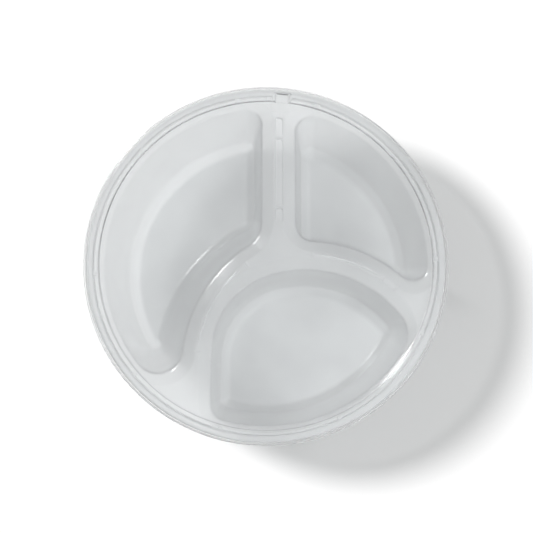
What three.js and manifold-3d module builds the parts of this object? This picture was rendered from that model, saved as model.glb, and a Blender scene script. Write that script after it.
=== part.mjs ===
// A round divided dish with three compartments, and its clear cover.
// Millimetres, +Z up. The origin is the centre of the base, on the surface that the dish stands on.
import * as THREE from 'three';
import { mergeVertices } from 'three/addons/utils/BufferGeometryUtils.js';
import Module from 'manifold-3d';

const wasm = await Module();
wasm.setup();

// ---- Driving dimensions ------------------------------------------------------------------------
const WALL = 1.0; // thickness of the dish everywhere
const DECK_Z = 45.0; // top of the deck between the compartments
const RIM_Z = 47.2; // top of the rim flange
const COVER_Z = 48.5; // top of the cover, the highest point

const COVER_R = 115.0; // outside of the cover's skirt, the widest point
const RIM_R = 113.4; // outside of the dish's turned-down rim
const STEP_R = 108.2; // where the deck steps up to the rim flange
const LIP_R = 107.0; // outer side of all three compartments, at the deck
const ROUND_SEGMENTS = 72;

const SHOULDER = 8.0; // width of the sloping shoulder between a divider's deck and its wall
const RIM_SHOULDER = 4.5; // the same beside the rim
const SHOULDER_DROP = 3.6;
const FOOT_W = 5.0; // width of the sloping foot between a wall and its floor
const FOOT_RISE = 5.0;
const USUAL = { shoulder: 6.0, run: 6.0 }; // the wall that sets the mitres of the outside
const SHARPEST = 0.8; // smallest corner radius

const RIM_DROP = 4.8; // height of the turned-down rim
const RIM_BEVEL = 0.8;
const SHELF_R = 109.2; // underside of the step
const STEP_SLOPE = 0.6; // how far the step leans outwards

const COVER_WALL = 0.9;
const PANEL_Z = 46.0; // underside of the cover's sunken panel
const PLUG_R = 105.8; // outside of the wall between the panel and the cover's flange
const SKIRT_Z = 40.5; // lower edge of the cover's skirt
const PANEL_BEVEL = 0.5;
const COVER_BEVEL = 0.6;
const FIT = 0.4; // clearance between the cover's flange and the rim

// ---- Compartment outlines at the deck ------------------------------------------------------------
// Each side is an arc that the compartment lies inside or outside, or an upright line that it lies
// on one side of. Its wall has a shoulder at the top, and run is how far the straight part below it
// leans into the compartment. Sides go anticlockwise; corners[i] joins sides[i] to the next one, with
// one radius at the deck and another at the floor.
const arc = (x, y, radius, inside, shoulder, run, steps) =>
  ({ centre: [x, y], radius, inside, shoulder, run, steps });
const line = (x, toward, shoulder, run, steps) => ({ x, toward, shoulder, run, steps });
const round = (x, y, radius, atFloor, steps) => ({ near: [x, y], radius, atFloor, steps });
const SMOOTH = { radius: 0 };
const alongRim = (run, steps) => arc(0, 0, LIP_R, true, RIM_SHOULDER, run, steps);

const COMPARTMENTS = {
  left: {
    sides: [
      alongRim(11.8, 18),
      arc(37.6, -65, 82.2, false, SHOULDER, 16.8, 8),
      line(4.9, -1, SHOULDER, 5, 2),
    ],
    corners: [round(-66, -58, 20.3, 1.2, 8), round(-23, 25, 29, 3, 5), round(-9, 92, 14, 1, 5)],
  },
  right: {
    sides: [
      alongRim(10.5, 10),
      line(11.3, 1, SHOULDER, 4.2, 2),
      arc(24.4, -81.5, 88, false, SHOULDER, 5.2, 7),
    ],
    corners: [round(26, 91, 15, 4, 5), round(32, 27, 20, 2, 5), round(91, -7, 13.4, 1.2, 7)],
  },
  bottom: {
    sides: [
      alongRim(10.2, 13),
      arc(24.4, -81.5, 85, true, SHOULDER, 4.6, 6),
      arc(18.3, -57.7, 60.4, true, SHOULDER, 4.2, 7),
      line(-42.1, 1, SHOULDER, 4.2, 2),
    ],
    corners: [round(66, -43, 28, 1, 7), SMOOTH, SMOOTH, round(-27, -88, 15, 2, 6)],
  },
};

// ---- Small features ------------------------------------------------------------------------------
const RIB_ANGLES = [184, 100, 89, 72, 1, -25, -65, -105, -139]; // ribs that centre the cover
const RIB = { width: 3.0, from: 106.4, to: 108.8, top: RIM_Z - 0.6 };
const NOTCH = { angle: 84.4, width: 11.0, from: 105.9, to: 111.8 }; // takes the cover's key
const KEY_PLAY = 0.7; // clearance between the key and each side of the notch
const SEAT = { angle: 84.4, width: 13.6, from: 99.2, to: 105.4 }; // raised pad below the key
const SEAT_H = 0.4;
const POCKET_X = 8.5; // middle of the three recesses along the straight divider
const POCKETS = [
  { width: 4.8, from: 26.4, to: 34.8, depth: 2.2 },
  { width: 4.4, from: 36.4, to: 80.8, depth: 1.2 },
  { width: 4.8, from: 83.0, to: 94.8, depth: 2.2 },
];
const BEAD_H = 0.5;
const BEADS = [
  { centre: [24.4, -81.5], radius: 86.5, width: 1.4, from: 56, to: 85 },
  { centre: [37.6, -65], radius: 80.7, width: 1.4, from: 130, to: 172 },
];
const WEB_W = 1.5;
const WEBS = [ // short bars across the two curved dividers: bead, angle, length
  { bead: 0, angle: 48, length: 5.0 },
  { bead: 0, angle: 54.5, length: 3.4 },
  { bead: 0, angle: 86.5, length: 4.0 },
  { bead: 1, angle: 128, length: 4.0 },
  { bead: 1, angle: 143, length: 3.4 },
  { bead: 1, angle: 174, length: 4.4 },
];

const SUNK = 0.2; // how far a block stops short of a face that it would otherwise lie in
const PAST = 2.0; // how far a cutting shape goes past what it cuts

// ---- Outline of a compartment, moved inwards -----------------------------------------------------
const turned = (from, [x, y], length) => {
  const size = Math.hypot(x - from[0], y - from[1]);
  return [from[0] + ((x - from[0]) / size) * length, from[1] + ((y - from[1]) / size) * length];
};

function moved(side, inset) {
  if (side.radius) return { ...side, radius: side.radius + (side.inside ? -inset : inset) };
  return { ...side, x: side.x + side.toward * inset };
}

function nearestOn(side, point) {
  return side.radius ? turned(side.centre, point, side.radius) : [side.x, point[1]];
}

function crossings(a, b) {
  if (!a.radius) return crossings(b, a);
  const [ax, ay] = a.centre;
  if (!b.radius) {
    const rise = Math.sqrt(a.radius ** 2 - (b.x - ax) ** 2);
    return [[b.x, ay + rise], [b.x, ay - rise]];
  }
  const [dx, dy] = [b.centre[0] - ax, b.centre[1] - ay];
  const gap = Math.hypot(dx, dy);
  const along = (gap ** 2 + a.radius ** 2 - b.radius ** 2) / (2 * gap);
  const across = Math.sqrt(a.radius ** 2 - along ** 2);
  return [1, -1].map((s) => [
    ax + (along * dx - s * across * dy) / gap,
    ay + (along * dy + s * across * dx) / gap,
  ]);
}

function touch(a, b) { // where two sides that run smoothly into each other meet
  if (!b.radius) return [b.x, a.centre[1]];
  const [big, small] = a.radius > b.radius ? [a, b] : [b, a];
  return turned(big.centre, small.centre, big.radius);
}

function sweep(centre, radius, from, to, steps, anticlockwise) {
  const start = Math.atan2(from[1] - centre[1], from[0] - centre[0]);
  let turn = Math.atan2(to[1] - centre[1], to[0] - centre[0]) - start;
  if (anticlockwise && turn < 0) turn += 2 * Math.PI;
  if (!anticlockwise && turn > 0) turn -= 2 * Math.PI;
  return Array.from({ length: steps + 1 }, (_, i) => {
    const angle = start + (turn * i) / steps;
    return [centre[0] + radius * Math.cos(angle), centre[1] + radius * Math.sin(angle)];
  });
}

const floorInset = (side) => side.shoulder + side.run + FOOT_W;

function cornerPoints(corner, a, b, insets) {
  if (!corner.radius) return [touch(moved(a, insets[0]), moved(b, insets[1]))];
  const share = (insets[0] + insets[1]) / (floorInset(a) + floorInset(b));
  const radius = Math.max(THREE.MathUtils.lerp(corner.radius, corner.atFloor, share), SHARPEST);
  const distance = ([x, y]) => Math.hypot(x - corner.near[0], y - corner.near[1]);
  const centre = crossings(moved(a, insets[0] + radius), moved(b, insets[1] + radius))
    .sort((p, q) => distance(p) - distance(q))[0];
  const from = nearestOn(moved(a, insets[0]), centre);
  const to = nearestOn(moved(b, insets[1]), centre);
  return sweep(centre, radius, from, to, corner.steps, true);
}

// How far a side stands in at one station of a wall's section: whole shoulders and runs, and more.
const insetAt = ({ shoulders, runs, more }, side) => shoulders * side.shoulder + runs * side.run + more;

// The closed outline at one station. Every outline of one compartment has the same number of points,
// so that two of them can be joined by a strip.
function outline({ sides, corners }, station) {
  const insets = sides.map((side) => insetAt(station, side));
  const after = (i) => (i + 1) % sides.length;
  const joins = corners.map((corner, i) =>
    cornerPoints(corner, sides[i], sides[after(i)], [insets[i], insets[after(i)]]));
  return joins.flatMap((points, i) => {
    const side = moved(sides[after(i)], insets[after(i)]);
    const from = points.at(-1);
    const to = joins[after(i)][0];
    const between = side.radius
      ? sweep(side.centre, side.radius, from, to, side.steps, side.inside)
      : Array.from({ length: side.steps + 1 }, (_, k) =>
        [side.x, THREE.MathUtils.lerp(from[1], to[1], k / side.steps)]);
    return [...points, ...between.slice(1, -1)];
  });
}

// ---- Solids --------------------------------------------------------------------------------------
function solid(geometry) {
  geometry.deleteAttribute('normal');
  geometry.deleteAttribute('uv');
  const merged = mergeVertices(geometry);
  const index = Array.from(merged.index.array);
  const triangles = [];
  for (let i = 0; i < index.length; i += 3) {
    const [a, b, c] = index.slice(i, i + 3);
    if (a !== b && b !== c && c !== a) triangles.push(a, b, c);
  }
  const vertProperties = merged.attributes.position.array;
  return new wasm.Manifold(
    new wasm.Mesh({ numProp: 3, vertProperties, triVerts: new Uint32Array(triangles) }));
}

// Joins rings of points, the lowest first, and closes both ends.
function loft(rings) {
  const count = rings[0].length;
  const triangles = [];
  for (let k = 0; k + 1 < rings.length; k += 1) {
    for (let i = 0; i < count; i += 1) {
      const [a, b] = [k * count + i, k * count + ((i + 1) % count)];
      triangles.push(a, b, b + count, a, b + count, a + count);
    }
  }
  const flat = (ring) => ring.map(([x, y]) => new THREE.Vector2(x, y));
  const top = (rings.length - 1) * count;
  for (const [a, b, c] of THREE.ShapeUtils.triangulateShape(flat(rings[0]), [])) {
    triangles.push(a, c, b);
  }
  for (const [a, b, c] of THREE.ShapeUtils.triangulateShape(flat(rings.at(-1)), [])) {
    triangles.push(top + a, top + b, top + c);
  }
  const geometry = new THREE.BufferGeometry();
  geometry.setAttribute('position', new THREE.Float32BufferAttribute(rings.flat(2), 3));
  geometry.setIndex(triangles);
  return solid(geometry);
}

function revolve(profile) { // profile is [radius, height] pairs, anticlockwise
  const points = [...profile, profile[0]].map(([r, z]) => new THREE.Vector2(r, z));
  return solid(new THREE.LatheGeometry(points, ROUND_SEGMENTS).rotateX(Math.PI / 2));
}

// A block around a recess of the straight divider, from skin outside its faces up to a height.
function pocketBox({ width, from, to, depth }, skin, top) {
  const bottom = DECK_Z - depth - skin;
  const geometry = new THREE.BoxGeometry(width + 2 * skin, to - from + 2 * skin, top - bottom);
  return solid(geometry.translate(POCKET_X, (from + to) / 2, (bottom + top) / 2));
}

// A box that points away from centre: from and to are distances along that direction.
function radialBox({ angle, width, from, to }, z0, z1, centre = [0, 0]) {
  const geometry = new THREE.BoxGeometry(to - from, width, z1 - z0);
  geometry.translate((from + to) / 2, 0, (z0 + z1) / 2);
  geometry.rotateZ(THREE.MathUtils.degToRad(angle)).translate(...centre, 0);
  return solid(geometry);
}

function bead({ centre, radius, width, from, to }, z0, z1) {
  const shape = new THREE.Shape();
  const [start, end] = [from, to].map(THREE.MathUtils.degToRad);
  shape.absarc(...centre, radius + width / 2, start, end, false);
  shape.absarc(...centre, radius - width / 2, end, start, true);
  const settings = { depth: z1 - z0, bevelEnabled: false, curveSegments: 8 };
  return solid(new THREE.ExtrudeGeometry(shape, settings).translate(0, 0, z0));
}

// ---- The dish ------------------------------------------------------------------------------------
// Section of a compartment wall from the floor up to the deck, skin being how far outside the inner
// face it lies.
function wallSection(skin) {
  const inner = [
    { shoulders: 1, runs: 1, more: FOOT_W, z: WALL },
    { shoulders: 1, runs: 1, more: 0, z: WALL + FOOT_RISE },
    { shoulders: 1, runs: 0, more: 0, z: DECK_Z - SHOULDER_DROP },
    { shoulders: 0, runs: 0, more: 0, z: DECK_Z },
  ];
  const faces = inner.slice(1).map((point, i) => {
    const [rise, lean] = [point.z - inner[i].z, insetAt(inner[i], USUAL) - insetAt(point, USUAL)];
    return [rise / Math.hypot(rise, lean), -lean / Math.hypot(rise, lean)];
  });
  const [below, above] = [[[0, -1], ...faces], [...faces, [0, -1]]];
  return inner.map((point, i) => {
    const [[ax, az], [bx, bz]] = [below[i], above[i]];
    const mitre = skin / (1 + ax * bx + az * bz);
    return { ...point, more: point.more - mitre * (ax + bx), z: point.z + mitre * (az + bz) };
  });
}

function compartmentSolid(compartment, skin, top) {
  const section = wallSection(skin);
  section.push({ ...section.at(-1), z: top });
  return loft(section.map((station) =>
    outline(compartment, station).map(([x, y]) => [x, y, station.z])));
}

function deckAndRim() {
  const under = DECK_Z - WALL;
  const edge = RIM_Z - RIM_DROP;
  return revolve([
    [0, under], [SHELF_R, under], [SHELF_R + STEP_SLOPE, RIM_Z - WALL],
    [RIM_R - WALL, RIM_Z - WALL], [RIM_R - WALL, edge], [RIM_R, edge],
    [RIM_R, RIM_Z - RIM_BEVEL], [RIM_R - RIM_BEVEL, RIM_Z],
    [STEP_R + STEP_SLOPE, RIM_Z], [STEP_R, DECK_Z], [0, DECK_Z],
  ]);
}

function dish() {
  const compartments = Object.values(COMPARTMENTS);
  let body = deckAndRim();
  for (const compartment of compartments) {
    body = body.add(compartmentSolid(compartment, WALL, DECK_Z - WALL / 2));
  }
  const under = DECK_Z - WALL;
  const backing = { ...NOTCH, width: NOTCH.width + 2 * WALL, from: LIP_R, to: NOTCH.to + WALL };
  body = body.add(radialBox(backing, under, RIM_Z - SUNK));
  for (const pocket of POCKETS) {
    body = body.add(pocketBox(pocket, WALL, DECK_Z - WALL / 2));
  }
  for (const compartment of compartments) {
    body = body.subtract(compartmentSolid(compartment, 0, DECK_Z + PAST));
  }
  body = body.subtract(radialBox(NOTCH, DECK_Z, RIM_Z + PAST));
  for (const pocket of POCKETS) {
    body = body.subtract(pocketBox(pocket, 0, DECK_Z + PAST));
  }
  body = body.add(radialBox(SEAT, DECK_Z - WALL / 2, DECK_Z + SEAT_H));
  for (const angle of RIB_ANGLES) {
    body = body.add(radialBox({ ...RIB, angle }, DECK_Z - WALL / 2, RIB.top));
  }
  for (const path of BEADS) {
    body = body.add(bead(path, DECK_Z - WALL / 2, DECK_Z + BEAD_H));
  }
  for (const { bead: k, angle, length } of WEBS) {
    const { centre, radius } = BEADS[k];
    const bar = { angle, width: WEB_W, from: radius - length / 2, to: radius + length / 2 };
    body = body.add(radialBox(bar, DECK_Z - WALL / 2, DECK_Z + BEAD_H, centre));
  }
  return body;
}

// ---- The cover -----------------------------------------------------------------------------------
function cover() {
  const flangeZ = RIM_Z + FIT;
  const [plugIn, skirtIn] = [PLUG_R - COVER_WALL, COVER_R - COVER_WALL];
  let body = revolve([
    [0, PANEL_Z], [PLUG_R - PANEL_BEVEL, PANEL_Z], [PLUG_R, PANEL_Z + PANEL_BEVEL],
    [PLUG_R, flangeZ], [skirtIn, flangeZ], [skirtIn, SKIRT_Z], [COVER_R, SKIRT_Z],
    [COVER_R, COVER_Z - COVER_BEVEL], [COVER_R - COVER_BEVEL, COVER_Z], [plugIn, COVER_Z],
    [plugIn, PANEL_Z + COVER_WALL], [0, PANEL_Z + COVER_WALL],
  ]);
  const key = {
    ...NOTCH, width: NOTCH.width - 2 * KEY_PLAY, from: plugIn + SUNK, to: NOTCH.to - KEY_PLAY,
  };
  const hollow = {
    ...key, width: key.width - 2 * COVER_WALL, from: plugIn - PAST, to: key.to - COVER_WALL,
  };
  body = body.add(radialBox(key, PANEL_Z, COVER_Z - SUNK));
  return body.subtract(radialBox(hollow, PANEL_Z + COVER_WALL, COVER_Z + PAST));
}

// ---- The scene graph -----------------------------------------------------------------------------
function mesh(name, manifold, material) {
  const { vertProperties, triVerts } = manifold.getMesh();
  const geometry = new THREE.BufferGeometry();
  geometry.setAttribute('position', new THREE.BufferAttribute(vertProperties, 3));
  geometry.setIndex(new THREE.BufferAttribute(triVerts, 1));
  geometry.computeVertexNormals();
  const made = new THREE.Mesh(geometry, new THREE.MeshStandardMaterial(material));
  made.name = name;
  return made;
}

const object = new THREE.Group();
object.add(mesh('dish', dish(), { color: 0xc8cdcf, roughness: 0.3, transparent: true, opacity: 0.7 }));
object.add(mesh('cover', cover(), { color: 0xe6eaeb, roughness: 0.1, transparent: true, opacity: 0.25 }));

export default object;
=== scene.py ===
import cmath
import math

import bmesh
import bpy
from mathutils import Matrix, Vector


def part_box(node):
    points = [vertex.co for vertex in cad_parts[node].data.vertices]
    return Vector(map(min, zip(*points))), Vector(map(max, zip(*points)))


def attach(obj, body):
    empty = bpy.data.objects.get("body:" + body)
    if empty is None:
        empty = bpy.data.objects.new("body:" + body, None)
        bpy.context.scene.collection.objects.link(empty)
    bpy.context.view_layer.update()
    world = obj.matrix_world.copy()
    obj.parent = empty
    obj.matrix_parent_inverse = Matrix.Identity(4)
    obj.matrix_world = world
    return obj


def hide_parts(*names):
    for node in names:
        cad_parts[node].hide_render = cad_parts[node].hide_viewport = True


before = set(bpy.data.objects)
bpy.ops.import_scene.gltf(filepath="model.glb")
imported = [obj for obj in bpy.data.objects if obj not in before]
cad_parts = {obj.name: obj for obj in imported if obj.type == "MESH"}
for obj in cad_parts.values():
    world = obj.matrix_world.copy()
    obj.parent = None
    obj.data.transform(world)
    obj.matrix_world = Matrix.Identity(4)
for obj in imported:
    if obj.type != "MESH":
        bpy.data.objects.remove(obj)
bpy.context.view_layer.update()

MM = 0.001

# ---- Sizes ---------------------------------------------------------------------------------------
dish_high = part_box("dish")[1] / MM
cover_low, cover_high = (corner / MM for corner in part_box("cover"))
RIM_R, RIM_Z = dish_high.x, dish_high.z
COVER_R, COVER_Z, SKIRT_Z = cover_high.x, cover_high.z, cover_low.z

WALL = 1.0
DECK_Z = RIM_Z - 2.2
STEP_R, STEP_SLOPE = 108.2, 0.6
LIP_R = 107.0
SHOULDER, RIM_SHOULDER, SHOULDER_DROP = 8.0, 4.5, 3.6
FOOT_W, FOOT_RISE = 5.0, 5.0
USUAL_SHOULDER, USUAL_RUN = 6.0, 6.0
SHARPEST = 0.8  # least radius of a compartment's corners
RIM_DROP = 4.8

COVER_WALL = 0.9
PANEL_Z = RIM_Z - 1.2
PLUG_R = 105.8
FIT = 0.4

ROUND_SEGMENTS = 288
EDGE_STEPS = 5  # segments across a rounded edge


# ---- Plan outlines -------------------------------------------------------------------------------
def unit(z):
    return z / abs(z)


def sweep(centre, start, end, steps, anticlockwise=True):
    """Points on a circle from start to end, both included."""
    turn = cmath.phase((end - centre) / (start - centre))
    if anticlockwise and turn < 0:
        turn += 2 * math.pi
    if not anticlockwise and turn > 0:
        turn -= 2 * math.pi
    return [centre + (start - centre) * cmath.rect(1, turn * i / steps) for i in range(steps + 1)]


class Arc:
    """A side that is part of a circle, with the compartment inside or outside the circle."""

    def __init__(self, centre, radius, inside, shoulder=0.0, run=0.0, steps=24):
        self.centre, self.radius, self.inside = centre, radius, inside
        self.shoulder, self.run, self.steps = shoulder, run, steps

    def moved(self, inset):
        radius = self.radius - inset if self.inside else self.radius + inset
        return Arc(self.centre, radius, self.inside, steps=self.steps)

    def nearest(self, point):
        return self.centre + self.radius * unit(point - self.centre)

    def points(self, start, end):
        return sweep(self.centre, start, end, self.steps, self.inside)

    def crossings(self, other):
        if isinstance(other, Line):
            foot = other.nearest(self.centre)
            reach = math.sqrt(self.radius**2 - abs(foot - self.centre) ** 2)
            return [foot + other.along * reach, foot - other.along * reach]
        gap = other.centre - self.centre
        along = (abs(gap) ** 2 + self.radius**2 - other.radius**2) / (2 * abs(gap))
        across = math.sqrt(self.radius**2 - along**2)
        return [self.centre + unit(gap) * complex(along, s * across) for s in (1, -1)]


class Line:
    """A straight side through a point, with the compartment on its left."""

    def __init__(self, point, along, shoulder=0.0, run=0.0, steps=8):
        self.point, self.along = point, unit(along)
        self.shoulder, self.run, self.steps = shoulder, run, steps

    def moved(self, inset):
        return Line(self.point + self.along * 1j * inset, self.along, steps=self.steps)

    def nearest(self, point):
        return self.point + self.along * ((point - self.point) / self.along).real

    def points(self, start, end):
        return [start + (end - start) * i / self.steps for i in range(self.steps + 1)]

    def crossings(self, other):
        if isinstance(other, Arc):
            return other.crossings(self)
        gap = (other.point - self.point) / self.along
        slope = other.along / self.along
        return [self.point + self.along * (gap.real - gap.imag * slope.real / slope.imag)]


class Corner:
    """Joins one side to the next with a rounding near a point, or smoothly if it has no radius.

    The radius goes from one value at the deck to another at the floor."""

    def __init__(self, near=0j, radius=0.0, at_floor=0.0, steps=18):
        self.near, self.radius, self.at_floor, self.steps = near, radius, at_floor, steps

    def points(self, a, b, inset_a, inset_b):
        side_a, side_b = a.moved(inset_a), b.moved(inset_b)
        if not self.radius:
            return [touch(side_a, side_b)]
        share = (inset_a + inset_b) / (floor_inset(a) + floor_inset(b))
        radius = max(self.radius + (self.at_floor - self.radius) * share, min(self.at_floor, SHARPEST))
        found = a.moved(inset_a + radius).crossings(b.moved(inset_b + radius))
        centre = min(found, key=lambda z: abs(z - self.near))
        return sweep(centre, side_a.nearest(centre), side_b.nearest(centre), self.steps)


def floor_inset(side):
    return side.shoulder + side.run + FOOT_W


def touch(a, b):
    """Where two sides that run smoothly into each other meet."""
    if isinstance(b, Line):
        return b.nearest(a.centre)
    big, small = (a, b) if a.radius > b.radius else (b, a)
    return big.nearest(small.centre)


def outline(sides, corners, shoulders, runs, more):
    """The closed outline at one station of a wall, always with as many points.

    Each side stands in by so many of its shoulders and runs, and more."""
    insets = [shoulders * side.shoulder + runs * side.run + more for side in sides]
    after = [(i + 1) % len(sides) for i in range(len(sides))]
    joins = [c.points(sides[i], sides[after[i]], insets[i], insets[after[i]])
             for i, c in enumerate(corners)]
    found = []
    for i, join in enumerate(joins):
        side = sides[after[i]].moved(insets[after[i]])
        found += join + side.points(join[-1], joins[after[i]][0])[1:-1]
    return found


def along_rim(run, steps):
    return Arc(0j, LIP_R, True, RIM_SHOULDER, run, steps)


# The sides of each compartment and the corner after each side. A side ends with its shoulder, run
# and steps, and a corner holds where it is near, its radius at the deck and at the floor, and steps.
COMPARTMENTS = {
    "left": (
        [along_rim(11.8, 90), Arc(37.6 - 65j, 82.2, False, SHOULDER, 16.8, 40),
         Line(4.9, 1j, SHOULDER, 5.0)],
        [Corner(-66 - 58j, 20.3, 1.2, 26), Corner(-23 + 25j, 29, 3), Corner(-9 + 92j, 14, 1)],
    ),
    "right": (
        [along_rim(10.5, 50), Line(11.3, -1j, SHOULDER, 4.2),
         Arc(24.4 - 81.5j, 88, False, SHOULDER, 5.2, 34)],
        [Corner(26 + 91j, 15, 4), Corner(32 + 27j, 20, 2), Corner(91 - 7j, 13.4, 1.2, 24)],
    ),
    "bottom": (
        [along_rim(10.2, 64), Arc(24.4 - 81.5j, 85, True, SHOULDER, 4.6, 30),
         Arc(18.3 - 57.7j, 60.4, True, SHOULDER, 4.2, 40), Line(-42.1, -1j, SHOULDER, 4.2)],
        [Corner(66 - 43j, 28, 1, 24), Corner(), Corner(), Corner(-27 - 88j, 15, 2)],
    ),
}


# ---- Meshes --------------------------------------------------------------------------------------
def solid(name, vertices, faces):
    mesh = bpy.data.meshes.new(name)
    mesh.from_pydata([Vector(v) * MM for v in vertices], [], faces)
    made = bpy.data.objects.new(name, mesh)
    bpy.context.scene.collection.objects.link(made)
    return made


def loft(name, rings):
    """A closed solid through rings of points, the first one seen from outside as clockwise."""
    count = len(rings[0])
    faces = [tuple(reversed(range(count)))]
    for k in range(len(rings) - 1):
        a, b = k * count, (k + 1) * count
        faces += [(a + i, a + (i + 1) % count, b + (i + 1) % count, b + i) for i in range(count)]
    faces.append(tuple(range((len(rings) - 1) * count, len(rings) * count)))
    return solid(name, [point for ring in rings for point in ring], faces)


def flat(points, z):
    return [(p.real, p.imag, z) for p in points]


def revolve(name, profile, segments=ROUND_SEGMENTS):
    """A solid of revolution from (radius, height) pairs that run from the axis round and back to it."""
    vertices, rows = [], []
    for r, z in profile:
        count = segments if r > 0 else 1
        rows.append([len(vertices) + i for i in range(count)])
        turns = [cmath.rect(r, 2 * math.pi * i / segments) for i in range(count)]
        vertices += flat(turns, z)
    faces = []
    for low, high in zip(rows, rows[1:]):
        for i in range(segments):
            j = (i + 1) % segments
            corners = [low[i % len(low)], low[j % len(low)], high[j % len(high)], high[i % len(high)]]
            faces.append(tuple(dict.fromkeys(corners)))
    return solid(name, vertices, faces)


def rounded(points, reach, measure=None, steps=EDGE_STEPS):
    """The same line with each inner corner rounded. reach is how far from the corner the curve begins,
    in the plane of the points, or in the plane that measure puts all but their last numbers in."""
    def length(a, b):
        flat_a, flat_b = ((measure(*p[:-1]), p[-1]) if measure else p for p in (a, b))
        return math.dist(flat_a, flat_b)

    found = [points[0]]
    for before, corner, after, far in zip(points, points[1:], points[2:], reach):
        before, corner, after = Vector(before), Vector(corner), Vector(after)
        start = corner.lerp(before, far / length(before, corner))
        end = corner.lerp(after, far / length(after, corner))
        for i in range(steps + 1):
            t = i / steps
            found.append(tuple(start.lerp(corner, t).lerp(corner.lerp(end, t), t)))
    return found + [points[-1]]


def combine(base, tool, operation):
    """Joins tool to base, or cuts it away, and removes it."""
    modifier = base.modifiers.new(operation, "BOOLEAN")
    modifier.object, modifier.operation, modifier.solver = tool, operation, "MANIFOLD"
    graph = bpy.context.evaluated_depsgraph_get()
    mesh = bpy.data.meshes.new_from_object(base.evaluated_get(graph))
    base.modifiers.clear()
    base.data = mesh
    bpy.data.objects.remove(tool)


def finished(made, sharp_angle=50):
    """Smooth shading, with flat faces kept flat and real edges kept sharp."""
    for polygon in made.data.polygons:
        polygon.use_smooth = True
    made.data.set_sharp_from_angle(angle=math.radians(sharp_angle))
    weighted = made.modifiers.new("weighted_normals", "WEIGHTED_NORMAL")
    weighted.keep_sharp = True
    return made


# ---- The dish ------------------------------------------------------------------------------------
def usual_inset(shoulders, runs, more):
    return shoulders * USUAL_SHOULDER + runs * USUAL_RUN + more


# Compartment wall from the floor up, as (shoulders, runs, more, height) of its outlines. Both edges
# of the foot are rounder on the inner face than on the outer face.
WALL_SECTION = [
    (1, 1, FOOT_W + 3, WALL), (1, 1, FOOT_W, WALL), (1, 1, 0, WALL + FOOT_RISE),
    (1, 0, 0, DECK_Z - SHOULDER_DROP), (0, 0, 0, DECK_Z), (0, 0, -1.2, DECK_Z)]
INNER_FACE = rounded(WALL_SECTION, [2.2, 2.2, 1.6, 0.9], usual_inset)
OUTER_FACE = rounded(WALL_SECTION, [0.7, 0.9, 1.6, 0.9], usual_inset)


def moved_out(section, skin):
    """A wall's section moved outwards by skin, square to the wall."""
    plan = [complex(-usual_inset(*share), z) for *share, z in section]
    found = []
    for i, (shoulders, runs, more, z) in enumerate(section):
        before, after = max(i - 1, 0), min(i + 1, len(plan) - 1)
        away = unit(plan[after] - plan[before]) * -1j * skin
        found.append((shoulders, runs, more - away.real, z + away.imag))
    return found


def compartment_solid(name, section, top):
    sides, corners = COMPARTMENTS[name]
    rings = [flat(outline(sides, corners, *station), z) for *station, z in section]
    rings.append([(x, y, top) for x, y, _ in rings[-1]])
    return loft(f"{name}_compartment", rings)


def radial(angle, from_r, to_r, width, centre=0j):
    """Sides of a rectangle that points away from centre at angle, anticlockwise."""
    out = cmath.rect(1, math.radians(angle))
    across = out * 1j
    near, far, half = centre + out * from_r, centre + out * to_r, across * width / 2
    return [Line(near - half, out), Line(far - half, across), Line(far + half, -out),
            Line(near + half, -across)]


def pad(name, sides, section, corner_radius):
    """A solid on an outline with rounded corners: section is (inset, height) pairs from the bottom up."""
    rings = []
    for inset, z in section:
        radius = max(corner_radius - inset, 0.05)
        corners = [Corner(side.point, radius, radius, 6) for side in sides[1:] + sides[:1]]
        rings.append(flat(outline(sides, corners, 0, 0, inset), z))
    return loft(name, rings)


def deck_and_rim():
    under, edge = DECK_Z - WALL, RIM_Z - RIM_DROP
    outer = rounded(
        [(0, under), (STEP_R + WALL, under), (STEP_R + WALL + STEP_SLOPE, RIM_Z - WALL),
         (RIM_R - WALL, RIM_Z - WALL), (RIM_R - WALL, edge), (RIM_R - WALL / 2, edge - 0.01),
         (RIM_R, edge), (RIM_R, RIM_Z), (STEP_R + STEP_SLOPE, RIM_Z), (STEP_R, DECK_Z), (0, DECK_Z)],
        [0.5, 0.4, 0.6, 0.3, 0.2, 0.3, 1.2, 0.6, 0.8])
    return revolve("dish", outer)


RIB_ANGLES = [184, 100, 89, 72, 1, -25, -65, -105, -139]
RIB_R, RIB_WIDTH, RIB_TOP = (106.4, 108.9), 3.0, RIM_Z - 0.5
NOTCH_ANGLE, NOTCH_R, NOTCH_WIDTH = 84.4, (105.9, 111.8), 11.0
KEY_PLAY = 0.7
SEAT_R, SEAT_WIDTH, SEAT_HEIGHT = (99.2, 105.4), 13.6, 0.4
POCKET_X = 8.5
# Start, end, width and depth of each recess.
POCKETS = [(26.4, 34.8, 4.8, 2.2), (36.4, 80.8, 4.4, 1.2), (83.0, 94.8, 4.8, 2.2)]
BEAD_HEIGHT, BEAD_WIDTH = 0.5, 1.4
# Centre, radius, and start and end angle of each ridge.
BEADS = [(24.4 - 81.5j, 86.5, 56, 85), (37.6 - 65j, 80.7, 130, 172)]
# Ridge, angle and length of each short bar across one.
WEBS = [(0, 48, 5.0), (0, 54.5, 3.4), (0, 86.5, 4.0), (1, 128, 4.0), (1, 143, 3.4), (1, 174, 4.4)]
WEB_WIDTH, WEB_HEIGHT = 1.5, 0.4


def ribs():
    section = [(0, DECK_Z - WALL / 2)] + [(0.5 - 0.5 * math.cos(a), RIB_TOP - 0.5 + 0.5 * math.sin(a))
                                          for a in (math.pi / 8 * i for i in range(5))]
    return [pad("rib", radial(angle, *RIB_R, RIB_WIDTH), section, 0.9) for angle in RIB_ANGLES]


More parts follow.
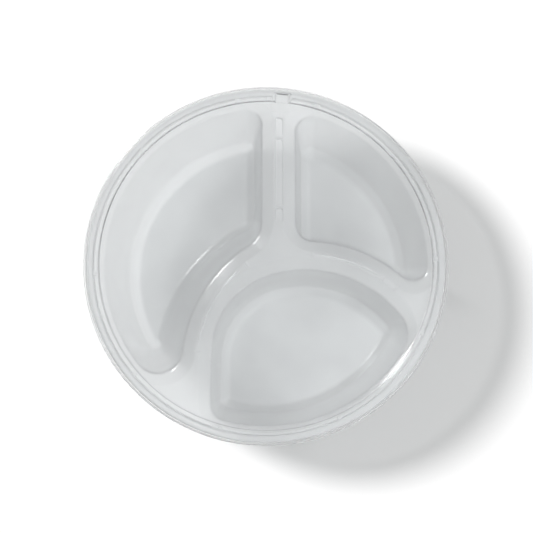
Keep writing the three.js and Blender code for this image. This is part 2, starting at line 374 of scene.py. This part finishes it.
def bead(centre, radius, start, end):
    """A half-round ridge along an arc, tapering at both ends."""
    rings = []
    steps = max(24, int(abs(end - start)))
    for i in range(steps + 1):
        out = cmath.rect(1, math.radians(start + (end - start) * i / steps))
        size = min(1.0, 0.25 + 0.25 * min(i, steps - i))
        ring = []
        for k in range(9):
            turn = math.pi * k / 8
            at = centre + out * (radius + BEAD_WIDTH / 2 * size * math.cos(turn))
            ring.append((at.real, at.imag, DECK_Z - 0.1 + (BEAD_HEIGHT + 0.1) * size * math.sin(turn)))
        for side in (-1, 1):
            at = centre + out * (radius + side * BEAD_WIDTH / 2 * size)
            ring.append((at.real, at.imag, DECK_Z - WALL / 2))
        rings.append(ring)
    return loft("bead", rings)


def web(k, angle, length):
    centre, radius = BEADS[k][:2]
    sides = radial(angle, radius - length / 2, radius + length / 2, WEB_WIDTH, centre)
    section = [(0, DECK_Z - WALL / 2), (0, DECK_Z), (0.2, DECK_Z + WEB_HEIGHT), (0.5, DECK_Z + WEB_HEIGHT)]
    return pad("web", sides, section, 0.6)


def seat():
    top = DECK_Z + SEAT_HEIGHT
    section = [(0, DECK_Z - WALL / 2), (0, DECK_Z + 0.1), (0.12, top - 0.1), (0.4, top)]
    return pad("seat", radial(NOTCH_ANGLE, *SEAT_R, SEAT_WIDTH), section, 1.5)


def pocket(name, sides, floor_z, corner_radius):
    """A cutter for a recess in the deck, with a rounded floor and a flared mouth."""
    section = [(0.5, floor_z), (0.2, floor_z + 0.1), (0.05, floor_z + 0.3), (0, DECK_Z - 0.45),
               (-0.1, DECK_Z - 0.15), (-0.35, DECK_Z), (-0.35, RIM_Z + 2)]
    return pad(name, sides, section, corner_radius)


def pocket_sides(start, end, width, skin=0.0):
    return radial(90, start - skin, end + skin, width + 2 * skin, centre=complex(POCKET_X, 0))


def pocket_backing(start, end, width, depth):
    floor_z = DECK_Z - depth - WALL
    section = [(0.5, floor_z), (0, floor_z + 0.5), (0, DECK_Z - WALL / 2)]
    return pad("backing", pocket_sides(start, end, width, WALL), section, 1.6)


def notch_backing():
    sides = radial(NOTCH_ANGLE, LIP_R, NOTCH_R[1] + WALL, NOTCH_WIDTH + 2 * WALL)
    return pad("backing", sides, [(0, DECK_Z - WALL), (0, RIM_Z - 0.2)], 1.0)


def build_dish():
    dish = deck_and_rim()
    for name in COMPARTMENTS:
        combine(dish, compartment_solid(name, moved_out(OUTER_FACE, WALL), DECK_Z - WALL / 2), "UNION")
    combine(dish, notch_backing(), "UNION")
    for place in POCKETS:
        combine(dish, pocket_backing(*place), "UNION")
    for name in COMPARTMENTS:
        combine(dish, compartment_solid(name, INNER_FACE, DECK_Z + 5), "DIFFERENCE")
    combine(dish, pocket("notch", radial(NOTCH_ANGLE, *NOTCH_R, NOTCH_WIDTH), DECK_Z, 1.2), "DIFFERENCE")
    for *place, depth in POCKETS:
        combine(dish, pocket("pocket", pocket_sides(*place), DECK_Z - depth, 1.6), "DIFFERENCE")
    for piece in [seat()] + ribs() + [bead(*b) for b in BEADS] + [web(*w) for w in WEBS]:
        combine(dish, piece, "UNION")
    return finished(dish)


# ---- The cover -----------------------------------------------------------------------------------
def build_cover():
    flange_z = RIM_Z + FIT
    plug_in, skirt_in = PLUG_R - COVER_WALL, COVER_R - COVER_WALL
    cover = revolve("cover", rounded(
        [(0, PANEL_Z), (PLUG_R, PANEL_Z), (PLUG_R, flange_z), (skirt_in, flange_z),
         (skirt_in, SKIRT_Z), (COVER_R, SKIRT_Z), (COVER_R, COVER_Z), (plug_in, COVER_Z),
         (plug_in, PANEL_Z + COVER_WALL), (0, PANEL_Z + COVER_WALL)],
        [0.6, 0.3, 0.4, 0.3, 0.3, 0.9, 0.5, 0.4]))
    key_r = (plug_in + 0.2, NOTCH_R[1] - KEY_PLAY)
    key_width = NOTCH_WIDTH - 2 * KEY_PLAY
    key = pad("key", radial(NOTCH_ANGLE, *key_r, key_width),
              [(0.4, PANEL_Z), (0, PANEL_Z + 0.4), (0, COVER_Z - 0.3)], 1.0)
    combine(cover, key, "UNION")
    hollow_r = (plug_in - 1, key_r[1] - COVER_WALL)
    hollow = pad("hollow", radial(NOTCH_ANGLE, *hollow_r, key_width - 2 * COVER_WALL),
                 [(0.3, PANEL_Z + COVER_WALL), (0, PANEL_Z + COVER_WALL + 0.3), (0, COVER_Z - 0.3),
                  (-0.3, COVER_Z), (-0.3, COVER_Z + 1)], 0.7)
    combine(cover, hollow, "DIFFERENCE")
    return finished(cover)


# ---- Materials -----------------------------------------------------------------------------------
class Nodes:
    """Short ways to add nodes to a new material."""

    def __init__(self, name):
        self.material = bpy.data.materials.new(name)
        self.material.use_nodes = True
        self.tree = self.material.node_tree
        self.tree.nodes.clear()

    def add(self, kind, **values):
        node = self.tree.nodes.new(kind)
        for key, value in values.items():
            if isinstance(value, bpy.types.NodeSocket):
                self.tree.links.new(value, node.inputs[key.replace("_", " ")])
            elif key.replace("_", " ") in node.inputs:
                node.inputs[key.replace("_", " ")].default_value = value
            else:
                setattr(node, key, value)
        return node

    def mix(self, factor, a, b):
        node = self.tree.nodes.new("ShaderNodeMixShader")
        for socket, value in zip(node.inputs, (factor, a, b)):
            if isinstance(value, float):
                socket.default_value = value
            else:
                self.tree.links.new(value, socket)
        return node.outputs[0]

    def ramp(self, value, low, high, to_low, to_high):
        node = self.tree.nodes.new("ShaderNodeMapRange")
        self.tree.links.new(value, node.inputs[0])
        for socket, number in zip(node.inputs[1:5], (low, high, to_low, to_high)):
            socket.default_value = number
        return node.outputs[0]

    def maths(self, operation, a, b):
        node = self.tree.nodes.new("ShaderNodeMath")
        node.operation = operation
        for socket, value in zip(node.inputs, (a, b)):
            if isinstance(value, (int, float)):
                socket.default_value = value
            else:
                self.tree.links.new(value, socket)
        return node.outputs[0]


def plastic(name, tint, haze, edge_haze, milk_colour, roughness, ripple, lit_through):
    """A clear plastic with milk in it. haze is the milk seen face on, and edge_haze what is added edge on.

    Lamps shine through it with the colour lit_through at each surface."""
    n = Nodes(name)
    place = n.add("ShaderNodeTexCoord").outputs["Object"]
    broad = n.add("ShaderNodeTexNoise", Vector=place, Scale=14.0, Detail=3.0).outputs[0]
    fine = n.add("ShaderNodeTexNoise", Vector=place, Scale=420.0, Detail=4.0, Roughness=0.6).outputs[0]
    ripples = n.add("ShaderNodeTexNoise", Vector=place, Scale=38.0, Detail=2.0).outputs[0]
    slant = n.add("ShaderNodeLayerWeight", Blend=0.5).outputs["Facing"]

    bump = n.add("ShaderNodeBump", Strength=3 * ripple, Distance=0.0002, Height=fine).outputs[0]
    waves = n.add("ShaderNodeBump", Strength=ripple, Distance=0.0015, Height=ripples,
                  Normal=bump).outputs[0]
    dullness = n.ramp(fine, 0.3, 0.7, roughness * 0.8, roughness * 1.2)
    cloudy = n.maths("MULTIPLY", n.ramp(broad, 0.3, 0.7, 0.85, 1.15), haze)
    density = n.maths("ADD", cloudy, n.maths("MULTIPLY", n.maths("POWER", slant, 4), edge_haze))

    scatter = n.add("ShaderNodeBsdfDiffuse", Color=(*milk_colour, 1), Normal=waves).outputs[0]
    onward = n.add("ShaderNodeBsdfTranslucent", Color=(*milk_colour, 1), Normal=waves).outputs[0]
    glass = n.add("ShaderNodeBsdfGlass", Color=(*tint, 1), Roughness=dullness, IOR=1.49,
                  Normal=waves).outputs[0]
    clear = n.add("ShaderNodeBsdfTransparent", Color=(*lit_through, 1)).outputs[0]
    shadow_ray = n.add("ShaderNodeLightPath").outputs["Is Shadow Ray"]
    body = n.mix(density, glass, n.mix(0.5, scatter, onward))
    n.add("ShaderNodeOutputMaterial", Surface=n.mix(shadow_ray, body, clear))
    return n.material


def dish_plastic():
    return plastic("milky_plastic", tint=(0.98, 0.985, 0.985), haze=0.44, edge_haze=0.10,
                   milk_colour=(0.82, 0.83, 0.84), roughness=0.08, ripple=0.04,
                   lit_through=(0.85, 0.855, 0.855))


def cover_plastic():
    return plastic("clear_plastic", tint=(0.99, 0.992, 0.992), haze=0.03, edge_haze=0.80,
                   milk_colour=(0.86, 0.87, 0.88), roughness=0.10, ripple=0.01,
                   lit_through=(0.76, 0.765, 0.765))


def paper_white(name):
    n = Nodes(name)
    place = n.add("ShaderNodeTexCoord").outputs["Object"]
    grain = n.add("ShaderNodeTexNoise", Vector=place, Scale=60.0, Detail=3.0).outputs[0]
    rough = n.ramp(grain, 0.3, 0.7, 0.85, 0.95)
    shader = n.add("ShaderNodeBsdfPrincipled", Base_Color=(0.93, 0.93, 0.93, 1), Roughness=rough)
    shader.inputs["Specular IOR Level"].default_value = 0.0
    n.add("ShaderNodeOutputMaterial", Surface=shader.outputs[0])
    return n.material


# ---- Floor, light and camera ---------------------------------------------------------------------
def build_floor():
    size, z = 40000, -0.3  # just below the dish, so that the two faces don't share a plane
    floor = solid("floor", [(-size, -size, z), (size, -size, z), (size, size, z), (-size, size, z)],
                  [(0, 1, 2, 3)])
    floor.data.materials.append(paper_white("floor_white"))
    return floor


def towards(azimuth, elevation, distance):
    """The place that far away in that direction: azimuth anticlockwise from +X, angles in degrees."""
    flat_part = cmath.rect(math.cos(math.radians(elevation)), math.radians(azimuth))
    return Vector((flat_part.real, flat_part.imag, math.sin(math.radians(elevation)))) * distance


def group(name, objects):
    made = bpy.data.collections.new(name)
    for member in objects:
        made.objects.link(member)
    return made


def lamp(data, place, only_on, only_in_gloss=False, shaded_by=()):
    """Adds a lamp that points at the origin, for diffuse light or else for highlights.

    It lights only some objects, and may be shaded by some alone."""
    made = bpy.data.objects.new(data.name, data)
    made.location = place
    made.rotation_euler = place.to_track_quat("Z", "Y").to_euler()
    made.visible_camera = False
    made.visible_glossy = made.visible_transmission = only_in_gloss
    made.visible_diffuse = not only_in_gloss
    bpy.context.scene.collection.objects.link(made)
    made.light_linking.receiver_collection = group(f"{data.name}_receivers", only_on)
    if shaded_by:
        made.light_linking.blocker_collection = group(f"{data.name}_blockers", shaded_by)


def sun(name, strength, spread):
    data = bpy.data.lights.new(name, "SUN")
    data.energy, data.angle = strength, math.radians(spread)
    return data


def disk(name, size, power):
    data = bpy.data.lights.new(name, "AREA")
    data.shape, data.size, data.energy = "DISK", size, power
    return data


def build_light(pieces, floor):
    world = bpy.data.worlds.new("studio")
    world.use_nodes = True
    world.node_tree.nodes["Background"].inputs["Color"].default_value = (1, 1, 1, 1)
    world.node_tree.nodes["Background"].inputs["Strength"].default_value = 0.34
    bpy.context.scene.world = world
    lamp(sun("key_on_floor", 4.3, 14), towards(160, 36, 3.0), [floor])
    lamp(disk("key_on_dish", 0.25, 2.3), towards(316, 45, 0.55), pieces)
    lamp(disk("fill_on_dish", 8.0, 168), towards(110, 85, 1.2), pieces, shaded_by=[floor])
    lamp(disk("sparkle", 0.35, 55), towards(133, 25, 1.5), pieces, only_in_gloss=True)


def build_camera():
    elevation, distance, rim_view_width = math.radians(79.3), 705, 335.79
    data = bpy.data.cameras.new("camera")
    data.sensor_width = 36
    data.lens = distance / rim_view_width * data.sensor_width
    camera = bpy.data.objects.new("camera", data)
    target = Vector((0.4, -3.4, RIM_Z))
    back = Vector((0, -math.cos(elevation), math.sin(elevation)))
    camera.location = (target + back * distance) * MM
    camera.rotation_euler = (-back).to_track_quat("-Z", "Y").to_euler()
    bpy.context.scene.collection.objects.link(camera)
    bpy.context.scene.camera = camera


def main():
    dish, cover = build_dish(), build_cover()
    for node, piece, material in (("dish", dish, dish_plastic()), ("cover", cover, cover_plastic())):
        piece.data.materials.clear()
        piece.data.materials.append(material)
        piece.name = f"{node}_shell"
        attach(piece, node)
        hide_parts(node)
    floor = build_floor()
    build_light((dish, cover), floor)
    build_camera()
    scene = bpy.context.scene
    scene.view_settings.view_transform = "Standard"
    scene.cycles.transparent_max_bounces = 32
    scene.cycles.transmission_bounces = 16
    scene.cycles.max_bounces = 16
    scene.cycles.caustics_refractive = False
    scene.cycles.caustics_reflective = False


main()
